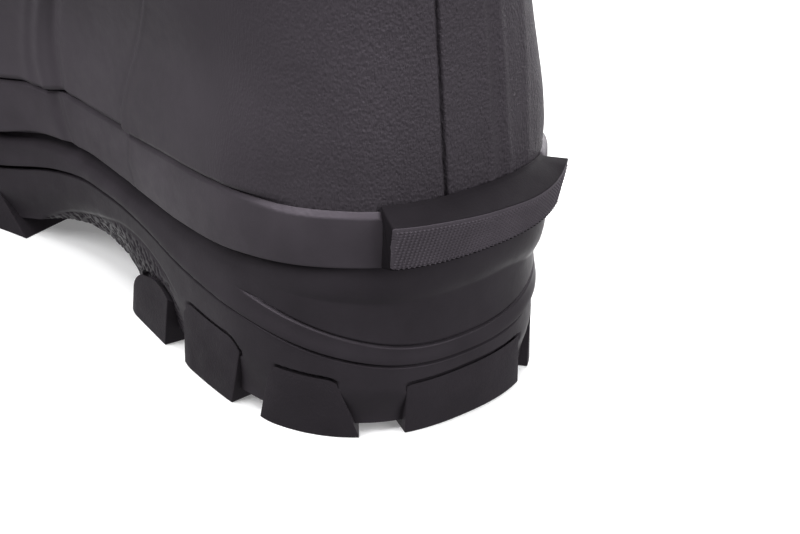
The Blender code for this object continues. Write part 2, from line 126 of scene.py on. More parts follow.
# Levels of the boot's outer form: ends of each level at the back and the front of the leg or foot
LEVELS = table(
    "back_x back_z front_x front_z half_width foot_share sag",
    (-1.2, 46.0, 298.0, 36.0, 50.2, 1.00, 1.00),
    (-2.0, 53.5, 300.6, 45.0, 50.6, 1.00, 1.00),
    (-2.0, 61.0, 300.2, 53.0, 50.6, 1.00, 0.96),
    (-1.8, 68.0, 295.0, 62.0, 50.2, 0.97, 0.85),
    (-1.4, 75.0, 282.0, 70.5, 49.9, 0.90, 0.70),
    (-0.6, 83.0, 260.0, 78.5, 49.4, 0.76, 0.50),
    (0.4, 92.0, 234.0, 87.0, 49.1, 0.56, 0.30),
    (1.6, 102.0, 208.0, 99.0, 48.7, 0.36, 0.15),
    (2.8, 113.0, 186.0, 114.0, 47.8, 0.20, 0.05),
    (3.7, 126.0, 168.0, 133.0, 46.5, 0.10, 0.00),
    (4.1, 141.0, 155.0, 155.0, 45.2, 0.04, 0.00),
    (3.6, 158.0, 147.5, 177.0, 44.7, 0.00, 0.00),
    (2.2, 178.0, 143.5, 199.0, 45.6, 0.00, 0.00),
    (-0.5, 208.0, 141.0, 226.0, 48.4, 0.00, 0.00),
    (-3.5, 248.0, 139.5, 260.0, 52.6, 0.00, 0.00),
    (-5.5, 300.0, 139.0, 306.0, 56.8, 0.00, 0.00),
    (-6.2, 350.0, 139.5, 352.0, 59.8, 0.00, 0.00),
    (-6.5, 395.0, 140.0, 395.0, 61.5, 0.00, 0.00),
)
SHAFT_LEVEL, TOPLINE_LEVEL = 11.0, 12.0
COLLAR_LEVEL = len(LEVELS) - 1.0
LEVEL_HEIGHT = 7.5
OVAL_POWER = 2.2
UPPER_WALL, SHAFT_WALL = 2.5, 5.0

# Midsole: lip above the rim, cove under the rand, roll round the back of the heel with a sunk crescent panel
HEEL_ROLL = table("share out", (0.0, 0.0), (0.21, 1.4), (0.47, 2.3), (0.74, 2.5), (1.0, 2.0))
ROLL_START, ROLL_START_OUTER, ROLL_SIZE, ROLL_INSET, ROLL_OUTER = 0.62, 0.42, 0.6, 0.3, 0.7
ROLL_SIDE, ROLL_INNER_FADE, ROLL_OUTER_FADE = (0.1, 0.4), (0.25, 0.75), (0.9, 1.5)
COVE = table(
    "x depth start",
    (0.0, 2.0, 0.1), (25.0, 5.0, 0.1), (50.0, 7.4, 0.12), (80.0, 7.8, 0.15),
    (112.0, 7.6, 0.25), (142.0, 6.5, 0.6), (200.0, 3.4, 0.6), (SOLE_LENGTH, 1.5, 0.6),
)
RIM_EDGE, RIM_EDGE_HEIGHT = 0.2, 0.2
RIM_GROOVE, RIM_GROOVE_HEEL, RIM_GROOVE_WAIST, RIM_GROOVE_FLOOR = 2.2, 0.65, 1.1, 0.7
RIM_GROOVE_WIDENS = (30.0, 65.0)
LIP_OUT, LIP_HEIGHT, LIP_REACH = 0.6, 1.2, 2.6
CRESCENT_BACK, CRESCENT_CLIMB = 0.17, 0.25
CRESCENT_END, CRESCENT_FADE = 39.0, 14.0
CRESCENT_SUNK, CRESCENT_SUNK_INNER, CRESCENT_STEP = 0.2, 0.5, 0.15
CRESCENT_TOP, CRESCENT_INNER = (0.3, 0.7), (0.35, 0.65)
CRESCENT_GROOVE, CRESCENT_GROOVE_WIDTH = 0.6, 0.3
CRESCENT_ROWS, PANEL_ROWS, PANEL_SPREAD = 40, 64, 1.2
CUP_WALL, CUP_DRAFT = 8.4, 0.3

# Insole: clearance in the cup, and inset and height of its edge from the underside to the top
INSOLE_CLEAR = 0.7
INSOLE_EDGE = [(1.2, 0.0), (0.3, 0.2), (0.0, 1.0), (0.0, 2.6), (0.3, 3.4), (1.2, 4.0)]

# Pitted slope under the sole's waist: height of its top edge
STRIP = table(
    "x top",
    (64.0, 17.5), (71.0, 21.1), (80.0, 23.8), (96.0, 24.2),
    (111.0, 20.4), (122.0, 16.9), (131.0, 14.0), (146.0, 6.6),
)
STRIP_SLOPE, STRIP_LEAST, STRIP_EDGE, STRIP_EDGE_WIDTH = 1.4, 0.5, 0.3, 0.5
STRIP_FADE_BACK, STRIP_FADE_FRONT = 8.0, 6.0
PIT_SPACING, PIT_STRETCH, PIT_DEPTH, PIT_SEED = 1.7, 1.3, 0.6, 5
PIT_FLAT, PIT_LIMIT, PIT_FADE, PIT_SIDE = 0.2, 0.9, 0.12, 9.0
STRIP_FINE, STRIP_FINE_LEAST = (1.04, 1.56, 0.0033), 0.00198

# Rand: level of its lower and top edges against the angle round the boot
RAND_EDGES = table(
    "angle low top",
    (0.000, 0.02, 1.94), (0.294, 0.02, 1.90), (0.412, 0.03, 1.93), (0.564, 0.03, 1.97),
    (0.664, 0.04, 2.06), (0.776, 0.05, 2.15), (0.964, 0.06, 2.12), (1.142, 0.20, 2.01),
    (1.164, 0.24, 2.12), (1.320, 0.27, 1.98), (1.428, 0.17, 1.95), (1.470, 0.17, 1.80),
    (1.534, 0.20, 1.99), (1.620, 0.08, 2.02), (1.900, 0.08, 2.00), (pi, 0.08, 2.00),
)
RAND_DIP, RAND_DIP_SPAN = 0.42, (-0.31, -0.28, 0.24, 0.27)
RAND_TOP, RAND_THICK, RAND_CROWN = 1.94, 1.2, 0.35
RAND_ROWS, RAND_ROW_EASE, RAND_INSIDE_ROWS = 40, 0.12, 8
RAND_TOP_ROUND, RAND_TOP_STEP, RAND_LOW_ROUND, RAND_LOW_STEP = 1.0, 0.4, 0.7, 0.45
RAND_FOLD_ROUND = 2.0
LEDGE_HEIGHT, LEDGE_ROUGH, LEDGE_GRAIN, LEDGE_SEED = 1.4, 0.1, 1.1, 11
LEDGE_FADE, LEDGE_ROUGH_AT, LEDGE_ROUGH_WIDTH = (0.4, 0.76), 0.6, 0.9
SPUR_FREE = (0.32, 0.5)
FLUSH_SIDE, FLUSH_FADE = (0.5, 0.76), (2.8, 6.0)
FLUSH_OUT, FLUSH_LOW, FLUSH_ROUND, FLUSH_STEP = 2.9, 1.45, 2.3, 1.0
TUCK, TUCK_LEVEL = 2.0, 0.3

# Moulded lines of the upper: the seam at the back and soft ridges beside it, as y against height
BACK_SEAM, *BACK_RIDGES = table(
    "heights places width out",
    ((60.0, 70.0, 80.0, 98.0, 106.0, 200.0), (8.0, 8.5, 8.5, 8.1, 7.9, 7.0), 0.5, -1.1),
    ((60.0, 76.0, 104.0, 160.0), (-5.6, -4.5, -4.6, -5.0), 1.3, 0.42),
    ((60.0, 75.0, 102.0, 160.0), (-11.4, -10.2, -10.1, -10.5), 1.3, 0.44),
    ((60.0, 76.0, 102.0, 160.0), (-8.5, -7.3, -7.3, -7.7), 1.5, -0.22),
    ((60.0, 72.0, 99.0, 160.0), (-18.7, -18.2, -19.4, -20.0), 1.6, 0.25),
)
BACK_SIDE_FADE, BACK_FADE = (0.35, 0.6), (120.0, 165.0)
HEEL_FULL = 0.75
HEEL_FULL_ANGLES, HEEL_FULL_LEVELS = (0.1, 0.35, 1.0, 1.6), (1.5, 3.0, 8.0, 11.0)

# Folds on both sides of the foot, as angle against level
SIDE_LINE = "levels angles width out"
SIDE_FOLDS = table(
    SIDE_LINE,
    ((2.0, 2.85, 3.73, 4.73, 7.0), (1.500, 1.517, 1.536, 1.571, 1.66), 2.0, 0.35),
    ((2.0, 2.60, 3.62, 4.88, 7.0), (1.458, 1.473, 1.498, 1.540, 1.62), 1.9, 0.45),
    ((2.0, 2.85, 3.78, 5.03, 7.0), (1.412, 1.429, 1.458, 1.505, 1.59), 2.4, -1.05),
)
COUNTER_EDGE = table(
    SIDE_LINE,
    ((2.0, 2.78, 3.70, 4.58, 5.60, 6.45, 8.0), (1.152, 1.154, 1.156, 1.166, 1.184, 1.194, 1.22), 1.5, 0.5),
)[0]
COUNTER_REACH = 18.0
COUNTER_LINES = table("at width out", (1.2, 1.2, -0.16), (-1.0, 1.3, 0.14))
FOLD_FADE = (6.5, 9.0)
RAND_FOLDS = table(
    SIDE_LINE,
    ((0.0, 0.60, 1.23, 1.73, 2.0), (1.390, 1.398, 1.410, 1.420, 1.430), 0.7, -0.22),
    ((0.0, 0.60, 1.23, 1.73, 2.0), (1.412, 1.420, 1.432, 1.442, 1.452), 2.4, -0.75),
    ((0.0, 0.43, 1.12, 1.90, 2.0), (1.134, 1.136, 1.146, 1.146, 1.15), 0.5, -0.15),
)
SWELL, SWELL_LENGTH, SWELL_SEED = 0.10, 34.0, 3

# Rows of the upper in runs of levels: first, last and number; the rand's run counts from its top edge
UPPER_LOW_ROWS = [(0.0, 0.3, 5), (0.6, 1.6, 4)]
UPPER_RAND_ROWS = [(-0.04, -0.01, 2), (0.0, 0.04, 6), (0.05, 0.3, 14)]
UPPER_HIGH_ROWS = [(2.3, 8.0, 58), (8.2, 11.9, 18)]
UPPER_INSIDE_ROWS = [(11.8, 0.0, 26)]
UPPER_NEAR_RAND = (0.6, 1.6, 2.3, 3.6)
SEAM_FINE, SEAM_FINE_LEAST = (0.045, 0.13, 0.0015), 0.0008

# Rounded top line of the upper: levels below it and depth under the outside
UPPER_EDGE = [(0.05, 0.0), (0.015, 0.25), (0.0, 0.9), (0.0, 1.6), (0.015, 2.25), (0.05, UPPER_WALL)]

# Kick spur: x of the ends of its seat and of its back face on the outer and inner sides, levels, reach, knurl
SPUR_SEAT_OUTER, SPUR_SEAT_INNER = 6.4, 4.9
SPUR_FACE_OUTER, SPUR_FACE_INNER = 7.5, 4.3
SPUR_OUT_TOP, SPUR_OUT_LOW = 5.2, 3.4
SPUR_LOW_LEVEL, SPUR_FACE_LOW_LEVEL = 0.06, 0.26
SPUR_FACE_TOP = table(
    "angle level",
    (-0.32, 1.66), (-0.29, 1.62), (-0.26, 1.54), (-0.23, 1.48),
    (-0.14, 1.43), (-0.02, 1.52), (0.10, 1.66), (0.24, 1.72),
)
SPUR_SEAT_TOP = table("angle level", (-0.30, 1.80), (-0.20, 1.94), (0.00, 2.03), (0.26, 2.06))
SPUR_LIP, SPUR_LIP_LEVELS, SPUR_LIP_RISE, SPUR_LIP_FOOT = 0.5, 0.24, 0.05, 0.8
SPUR_END_ROUND_OUTER, SPUR_END_ROUND_INNER, SPUR_END_ROWS = 1.7, 0.6, 4
SPUR_STEPS, SPUR_FACE_ROWS, SPUR_TOP_ROWS, SPUR_LOW_ROWS, SPUR_SEAT_ROWS = 330, 96, 20, 8, 6
SPUR_ROUND, SPUR_CORNER_ROWS = 0.45, 5
KNURL_ROWS, KNURL_PITCH, KNURL_OUT, KNURL_SKEW = 13.5, 1.0, 0.34, 0.18
KNURL_MARGIN, KNURL_FADE = 0.03, 0.5
SCALLOP_PITCH, SCALLOP_OUT_START, SCALLOP_OUT_END = 1.25, 0.08, 0.4

# Shaft, and collar binding: tape folded over the shaft's top edge, with a row of stitches
SHAFT_ROWS, SHAFT_INSIDE_ROWS = 70, 40
BINDING_LEVELS, BINDING_THICK, BINDING_EDGE = 0.32, 1.2, 0.7
BINDING_ROWS, BINDING_TURN_ROWS, BINDING_MIDDLE_ROW = 10, 13, 5
STITCH_COUNT, STITCH_SHARE, STITCH_RADIUS, STITCH_LEVEL = 118, 0.62, 0.32, 0.2
STITCH_SIDES, STITCH_POINTS, STITCH_SUNK, STITCH_TIP = 8, 7, 0.4, 0.55
STITCH_PLACES = 4001

# Tint of the black rubber, and each rubber's tone, roughness, grain and gloss
BLACK = (0.96, 0.84, 0.99)
RUBBERS = table(
    "name tone rough cell depth specular",
    ("outsole_rubber", 0.036, 0.46, 0.9, 0.04, 0.2),
    ("lug_rubber", 0.032, 0.68, 0.8, 0.12, 0.2),
    ("midsole_rubber", 0.036, 0.4, 1.0, 0.03, 0.2),
    ("rand_rubber", 0.062, 0.5, 1.0, 0.04, 0.3),
    # The kick spur is one rubber: its top's darker tone is painted shade and its back face's lighter tone a
    # painted sheen.
    ("spur_rubber", 0.014, 0.7, 0.7, 0.05, 0.05),
    ("spur_face_rubber", 0.084, 0.6, 0.7, 0.05, 0.25),
)

# Rubber of the foot shell: painted light that makes it lighter in the middle of the foot and darker towards
# the heel and toe, and its grain deepest at the heel's back
SHELL_TONE, SHELL_DARK, SHELL_LIGHT, SHELL_CLOUD = 0.052, 0.7, 1.6, 0.14
PAINTED_LIGHT_HEEL, PAINTED_LIGHT_TOE, PAINTED_LIGHT_RANGE = (78.0, 128.0), (200.0, 160.0), (0.36, 0.58)
GRAIN_FADE, GRAIN_RANGE = (44.0, 4.0), (0.04, 1.0)
GRAIN_CELL, GRAIN_STREAK, GRAIN_STRETCH, GRAIN_DEPTH = 0.8, 0.5, 0.22, 0.5

# Surround: brightness below the horizon and where it ends, and a soft glow low beyond the boot
SURROUND_LOW, SURROUND_RANGE = 0.38, (-0.15, 0.3)
GLOW_TOWARDS, GLOW_NARROWNESS, GLOW_STRENGTH = (0.69, -0.56, -0.46), 6.0, 1.6
FLOOR_SIZE, FLOOR_DROP, FLOOR_LIFT = 4.0, 0.0001, 0.2

# Soft boxes: place and size in metres, and watts
SOFT_BOXES = table(
    "name at size watts",
    ("softbox_above", (0.0, 0.0, 1.9), 1.6, 66.0),
    ("softbox_inner", (0.04, 1.03, 1.09), 0.8, 15.5),
    ("softbox_back", (-1.25, -0.41, 0.61), 0.8, 10.5),
    ("softbox_outer", (0.35, -1.30, 0.54), 0.8, 20.0),
)
LIGHT_TARGET = (-0.08, 0.0, 0.06)

# Camera of the photo
CAMERA_AT = (-475.85, 287.23, 265.74)
CAMERA_FORWARD = (0.68985, -0.55940, -0.45954)
CAMERA_LENS, CAMERA_SENSOR, CAMERA_CLIP = 94.77, 36.0, 0.01


def smooth(places, values, at):
    """Smooth curve through points, held flat beyond its ends."""
    places = np.asarray(places, float)
    values = np.asarray(values, float)
    slopes = np.gradient(values, places)
    at = np.clip(at, places[0], places[-1])
    low = np.clip(np.searchsorted(places, at, side="right") - 1, 0, len(places) - 2)
    span = places[low + 1] - places[low]
    s = (at - places[low]) / span
    start = (1 + 2 * s) * (1 - s) ** 2 * values[low] + s * (1 - s) ** 2 * span * slopes[low]
    end = s ** 2 * (3 - 2 * s) * values[low + 1] + s ** 2 * (s - 1) * span * slopes[low + 1]
    return start + end


def mix(start, end, share):
    return start + (end - start) * share


def ease(low, high, at):
    """0 before low, 1 after high and smooth between."""
    s = np.clip((at - low) / (high - low), 0, 1)
    return s * s * (3 - 2 * s)


def within(limits, at):
    """0 outside the first and last limits, 1 between the middle ones and smooth between."""
    start, full, fade, end = limits
    return ease(start, full, at) * (1 - ease(fade, end, at))


def bell(distance, width):
    return np.exp(-(distance / width) ** 2)


def quarter(distance, radius):
    """Rounded edge: 0 at the edge, 1 from radius on."""
    s = 1 - np.clip(distance / radius, 0, 1)
    return np.sqrt(1 - s * s)


def unit(vectors):
    return vectors / np.linalg.norm(vectors, axis=-1, keepdims=True)


def wrapped(t):
    """Angles brought between -pi and pi."""
    return np.angle(np.exp(1j * t))


def run_length(points):
    """Distance along a run of points from its first one."""
    return np.concatenate([[0], np.cumsum(np.linalg.norm(np.diff(points, axis=0), axis=1))])


def even_runs(rows):
    """Numbers in even runs, each given as first, last and number."""
    return np.concatenate([np.linspace(*run) for run in rows])


def ripple(points, wavelength, seed, waves=28):
    """Even, repeatable unevenness with about the given wavelength, mostly between -1 and 1."""
    chance = np.random.default_rng(seed)
    total = np.zeros(points.shape[:-1])
    for _ in range(waves):
        direction = chance.normal(size=3)
        direction *= 2 * pi / (wavelength * chance.uniform(0.7, 1.5) * np.linalg.norm(direction))
        total += np.sin(points @ direction + chance.uniform(0, 2 * pi))
    return total / np.sqrt(waves)


def column(rows, name):
    return [getattr(row, name) for row in rows]


def curve(rows, name, at):
    """Smooth curve of a table's column against its first one."""
    return smooth([row[0] for row in rows], column(rows, name), at)


def sole(name, x):
    return curve(SOLE, name, x)


def level(name, v):
    return smooth(np.arange(len(LEVELS)), column(LEVELS, name), v)


def ground(x):
    """Height of the lugs' underside: the floor, then the toe spring."""
    forward = np.clip((x - SPRING_START) / (SOLE_LENGTH - SPRING_START), 0, 1)
    return SPRING_RISE * forward ** SPRING_POWER


def tread(x):
    return np.interp(x, column(TREAD, "x"), column(TREAD, "height")) + ground(x)


def foot_half_width(x):
    """Half width of the foot's outline, with its rounded heel and toe."""
    behind = np.clip(1 - x / HEEL_ROUND, 0, 1)
    ahead = np.clip(1 - (SOLE_LENGTH - x) / TOE_ROUND, 0, 1)
    heel = (1 - behind ** HEEL_POWER) ** (1 / HEEL_POWER)
    toe = (1 - ahead ** TOE_POWER) ** (1 / TOE_POWER)
    return sole("half_width", x) * heel * toe


def angle_at(x, side):
    """Angle of the outline's point at a length along the foot, on the inner (1) or outer (-1) side."""
    return side * np.arccos(1 - 2 * x / SOLE_LENGTH)


def plan(t):
    """Outline of the sole on the floor at angles t: 0 at the heel's back, pi at the toe."""
    x = SOLE_LENGTH * (1 - np.cos(t)) / 2
    y = sole("centre_y", x) + np.sign(np.sin(t)) * foot_half_width(x)
    return np.stack([x, y], axis=-1)


def outline(t, inset, step=0.004):
    """Outline of the sole moved inwards by inset."""
    along = unit(plan(t + step) - plan(t - step))
    inward = np.stack([along[..., 1], -along[..., 0]], axis=-1)
    return plan(t) + np.asarray(inset)[..., None] * inward


def leg(v, t):
    """Point of the boot's outer form on level v at angle t round it."""
    share = (1 - np.cos(t)) / 2
    along_foot = share * SOLE_LENGTH
    foot_share = level("foot_share", v)
    x = mix(level("back_x", v), level("front_x", v), share)
    dip = sole("feather", x) - mix(SOLE[0].feather, SOLE[-1].feather, share)
    oval = (1 - np.abs(2 * share - 1) ** OVAL_POWER) ** (1 / OVAL_POWER)
    foot = foot_half_width(along_foot) / BALL_HALF_WIDTH
    half_width = level("half_width", v) * mix(oval, foot, foot_share)
    y = foot_share * sole("centre_y", along_foot) + np.sign(np.sin(t)) * half_width
    z = mix(level("back_z", v), level("front_z", v), share) + level("sag", v) * dip
    return np.stack([x, y, z], axis=-1)


def form(v, t, out=0.0, step=0.01):
    """Point at a distance out from the boot's outer form."""
    v, t = np.broadcast_arrays(np.asarray(v, float), np.asarray(t, float))
    upwards = leg(np.clip(v + step, 0, COLLAR_LEVEL), t) - leg(np.clip(v - step, 0, COLLAR_LEVEL), t)
    around = leg(v, t + step) - leg(v, t - step)
    return leg(v, t) + np.asarray(out)[..., None] * unit(np.cross(upwards, around))


def round_angles(fine, coarse):
    """Angles round the boot, even on both sides: fine from the heel to the waist, then coarse."""
    near = np.arange(0.0, FINE_END, fine)
    ahead = np.linspace(FINE_END, pi, round((pi - FINE_END) / coarse) + 1)
    half = np.concatenate([near, ahead])
    return np.concatenate([half, -half[-2:0:-1]])


def even_angles(t, least):
    """Angles in order, without those closer than least to the one before."""
    t = np.unique(t)
    kept = [t[0]]
    for angle in t[1:]:
        if angle - kept[-1] > least:
            kept.append(angle)
    return np.array(kept)


def row_frame(points):
    """Millimetres from the heel to metres in the part's frame."""
    return (points - np.array([ORIGIN_X, 0.0, 0.0])) * MM


def cap_faces(ring):
    """Strip of faces across a ring, from its first point to the point opposite."""
    count = len(ring)
    half = count // 2
    faces = [(ring[0], ring[1], ring[-1])]
    for i in range(1, half - 1):
        faces.append((ring[i], ring[i + 1], ring[count - i - 1], ring[count - i]))
    faces.append((ring[half - 1], ring[half], ring[half + 1]))
    return faces


def grid_mesh(name, points, join_ends=False, caps=None, cloth=None):
    """Mesh from closed rings of points in order; cloth gives texture places along and across, in mm."""
    rows, count = points.shape[:2]
    index = np.arange(rows * count).reshape(rows, count)
    lower = index if join_ends else index[:-1]
    upper = np.roll(index, -1, axis=0) if join_ends else index[1:]
    corners = [lower, upper, np.roll(upper, -1, axis=1), np.roll(lower, -1, axis=1)]
    faces = np.stack(corners, axis=-1).reshape(-1, 4).tolist()
    for ring in (index[0].tolist(), index[-1].tolist()):
        if caps == "strip":
            faces += cap_faces(ring)
        if caps == "flat":
            faces.append(ring)
    data = bpy.data.meshes.new(name)
    data.from_pydata(row_frame(points).reshape(-1, 3).tolist(), [], faces)
    if cloth is not None:
        along, across = cloth
        u = np.stack([along[:-1], along[:-1], along[1:], along[1:]], axis=-1)
        w = np.stack([across[:-1], across[1:], across[1:], across[:-1]], axis=-1)
        places = np.stack(np.broadcast_arrays(u[None, :, :], w[:, None, :]), axis=-1)
        data.uv_layers.new(name="cloth").uv.foreach_set("vector", places.astype(np.float32).ravel())
    mesh = bmesh.new()
    mesh.from_mesh(data)
    bmesh.ops.recalc_face_normals(mesh, faces=mesh.faces)
    mesh.to_mesh(data)
    mesh.free()
    return data


def cloth_places(points, row):
    """Distances along one row of a sheet's rings and across them, both closed."""
    along, across = points[row], points[:, 0]
    return [run_length(np.concatenate([run, run[:1]])) for run in (along, across)]


def to_data(mesh, name):
    """Mesh data from a finished bmesh."""
    data = bpy.data.meshes.new(name)
    mesh.to_mesh(data)
    mesh.free()
    return data


def add_object(name, data):
    made = bpy.data.objects.new(name, data)
    bpy.context.scene.collection.objects.link(made)
    return made


def piece(data, slot, node, *mats):
    """Object for a mesh that stands for a node of the frame."""
    data.shade_smooth()
    data.set_sharp_from_angle(angle=SMOOTH_ANGLE)
    for mat in mats:
        data.materials.append(mat)
    made = add_object(data.name, data)
    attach(made, "root")
    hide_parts(node)
    return made


def lug_angles(start_x, end_x, sides, steps=LUG_STEPS):
    """Angles along a lug: one that starts on the inner side and ends on the outer goes round the toe."""
    start, end = angle_at(start_x, sides[0]), angle_at(end_x, sides[1])
    if sides[0] > sides[1]:
        end += 2 * pi
    return np.linspace(start, end, steps)


def lug_top(row, share):
    """Height of a lug's top edge, rounded off at its corners."""
    corner = np.clip(np.abs(2 * share - 1) - 1 + row.share, 0, 1) / row.share
    drop = np.where(share < 0.5, row.rear_drop, row.front_drop)
    return mix(row.z_start, row.z_end, share) - drop * corner ** 2


def all_lugs():
    """Every edge lug with the sides that it starts and ends on."""
    lugs = [(row, (side, side)) for row in SIDE_LUGS for side in (1, -1)]
    return lugs + [(HEEL_BACK_LUG, (-1, 1)), (TOE_LUG, (1, -1))]


def add_lug(mesh, row, sides):
    """One lug: a block that follows the sole's edge and drops away behind its top edge, which is returned."""
    low = lug_angles(row.low_start, row.low_end, sides)
    top = lug_angles(row.top_start, row.top_end, sides)
    share = np.linspace(0, 1, LUG_STEPS)
    heights = lug_top(row, share)
    turned = row.turn * np.clip((share - LUG_TURN_SHARE) / (1 - LUG_TURN_SHARE), 0, 1) ** 2
    rings = []
    for low_t, top_t, height, inset in zip(low, top, heights, turned):
        foot, inner = outline(low_t, inset), outline(low_t, row.reach)
        head, root = outline(top_t, inset), outline(top_t, LUG_ROOT)
        spring = ground(foot[0])
        rings.append([
            (*foot, spring),
            (*head, height),
            (*root, height - LUG_ROOT_DROP),
            (*inner, tread(inner[0]) + LUG_SINK),
            (*inner, spring),
        ])
    verts = [[mesh.verts.new(row_frame(np.array(point))) for point in ring] for ring in rings]
    count = len(verts[0])
    for ring, after in zip(verts, verts[1:]):
        for i in range(count):
            mesh.faces.new((ring[i], after[i], after[(i + 1) % count], ring[(i + 1) % count]))
    mesh.faces.new(verts[0])
    mesh.faces.new(verts[-1])
    return [mesh.edges.get((ring[1], after[1])) for ring, after in zip(verts, verts[1:])]


def add_bar(mesh, row):
    """One bar in the middle of the tread."""
    low, high = ground(row.x), tread(row.x) + LUG_SINK
    bar = bmesh.ops.create_cube(mesh, size=2.0)["verts"]
    half_size = np.array([row.half_length, row.half_width, (high - low) / 2]) * MM
    centre = row_frame(np.array([row.x, float(sole("centre_y", row.x)), (low + high) / 2]))
    bmesh.ops.scale(mesh, vec=half_size, verts=bar)
    bmesh.ops.translate(mesh, vec=centre, verts=bar)


def make_lugs():
    """All lugs and bars, bevelled apart from the lugs' top edges and in the second material."""
    mesh = bmesh.new()
    tops = set()
    for row, sides in all_lugs():
        tops.update(add_lug(mesh, row, sides))
    for row in CENTRE_BARS:
        add_bar(mesh, row)
    bmesh.ops.recalc_face_normals(mesh, faces=mesh.faces)
    edges = [edge for edge in mesh.edges if edge.calc_face_angle(0.0) > LUG_SHARP and edge not in tops]
    bmesh.ops.bevel(
        mesh, geom=edges, offset=LUG_BEVEL * MM, segments=LUG_BEVEL_STEPS, profile=0.5, affect="EDGES",
        clamp_overlap=True)
    for face in mesh.faces:
        face.material_index = 1
    return to_data(mesh, "lugs")


def lug_grooves(t, z):
    """Depth of the grooves in the sole's side above the lugs."""
    depth = np.zeros(np.broadcast(t, z).shape)
    for row, sides in all_lugs():
        first, last = lug_angles(row.top_start, row.top_end, sides, steps=2)
        turn = np.where(t < first - pi / 2, t + 2 * pi, t) if sides[0] > sides[1] else t
        share = (turn - first) / (last - first)
        end = GROOVE_TURNED_END if row.turn else GROOVE_END
        along = within((-GROOVE_START, GROOVE_START, end - GROOVE_FADE, end), share)
        above = z - lug_top(row, np.clip(share, 0, 1))
        depth = np.maximum(depth, GROOVE_DEPTH * along * within((-2, -1, GROOVE_LOW, GROOVE_HIGH), above))
    return depth


def pitted_strip(t, x, z, low):
    """Inset of the pitted slope under the waist and of the line along its top edge."""
    first, last = STRIP[0].x, STRIP[-1].x
    top = curve(STRIP, "top", x)
    here = within((first, first + STRIP_FADE_BACK, last - STRIP_FADE_FRONT, last), x)
    below = np.clip((top - z) / np.maximum(top - low, STRIP_LEAST), 0, 1) * here
    side = np.stack(np.broadcast_arrays(x, np.sign(np.sin(t)) * PIT_SIDE, PIT_STRETCH * z), axis=-1)
    pits = np.clip(ripple(side, PIT_SPACING, PIT_SEED) - PIT_FLAT, 0, PIT_LIMIT) * ease(0.0, PIT_FADE, below)
    return STRIP_SLOPE * below + PIT_DEPTH * pits + STRIP_EDGE * here * bell(top - z, STRIP_EDGE_WIDTH)


def make_outsole(mats):
    """Cleated outsole: tapered side with grooves over the lugs and a pitted strip at the waist, and lugs."""
    waist = np.arange(*STRIP_FINE)
    t = np.concatenate([wrapped(round_angles(fine=0.007, coarse=0.02)), waist, -waist])
    t = even_angles(t, STRIP_FINE_LEAST)
    side_rows = np.linspace(0, RIM_ROWS_START, SIDE_ROWS, endpoint=False)
    share = np.concatenate([side_rows, np.linspace(RIM_ROWS_START, 1, RIM_ROWS)])[:, None]
    x = plan(t)[:, 0]
    low, high = tread(x), sole("rim", x)
    z = mix(low, high, share)
    inset = mix(SIDE_TAPER, RIM_INSET, ease(0, SIDE_FLUSH, share))
    inset = inset + RIM_EDGE * np.clip(1 - (high - z) / RIM_EDGE_HEIGHT, 0, 1)
    inset = inset + lug_grooves(t, z) + pitted_strip(t, x, z, low)
    points = np.concatenate([outline(t, inset), z[..., None]], axis=-1)
    data = grid_mesh("outsole_detail", points, caps="strip")
    lugs = make_lugs()
    mesh = bmesh.new()
    mesh.from_mesh(data)
    mesh.from_mesh(lugs)
    mesh.to_mesh(data)
    mesh.free()
    bpy.data.meshes.remove(lugs)
    return piece(data, "outsole_rubber", "outsole", *mats)


def roll_share(t):
    """How much of the heel's roll there is at angles t, between -pi and pi."""
    inner = 1 - ease(*ROLL_INNER_FADE, t)
    outer = 1 - ease(*ROLL_OUTER_FADE, -t)
    return inner * outer


def heel_roll(t, share):
    """Inset of the roll round the back of the heel, which is larger on the outer side."""
    outer = ease(*ROLL_SIDE, -t)
    start = mix(ROLL_START, ROLL_START_OUTER, outer)
    out = curve(HEEL_ROLL, "out", np.clip((share - start) / (1 - start), 0, 1))
    return ROLL_INSET - ROLL_OUTER * outer - out * mix(ROLL_SIZE, 1, outer)


def crescent(t, x, share, above):
    """Inset of the sunk panel round the heel and of the line along its lower edge."""
    panel = ease(CRESCENT_END, CRESCENT_END - CRESCENT_FADE, x)
    inner = ease(*CRESCENT_INNER, t)
    sunk = mix(CRESCENT_SUNK, CRESCENT_SUNK_INNER, inner) * ease(-CRESCENT_STEP, CRESCENT_STEP, above)
    sunk = sunk * (1 - ease(*CRESCENT_TOP, share))
    return panel * (sunk + CRESCENT_GROOVE * bell(above - CRESCENT_STEP, CRESCENT_GROOVE_WIDTH))


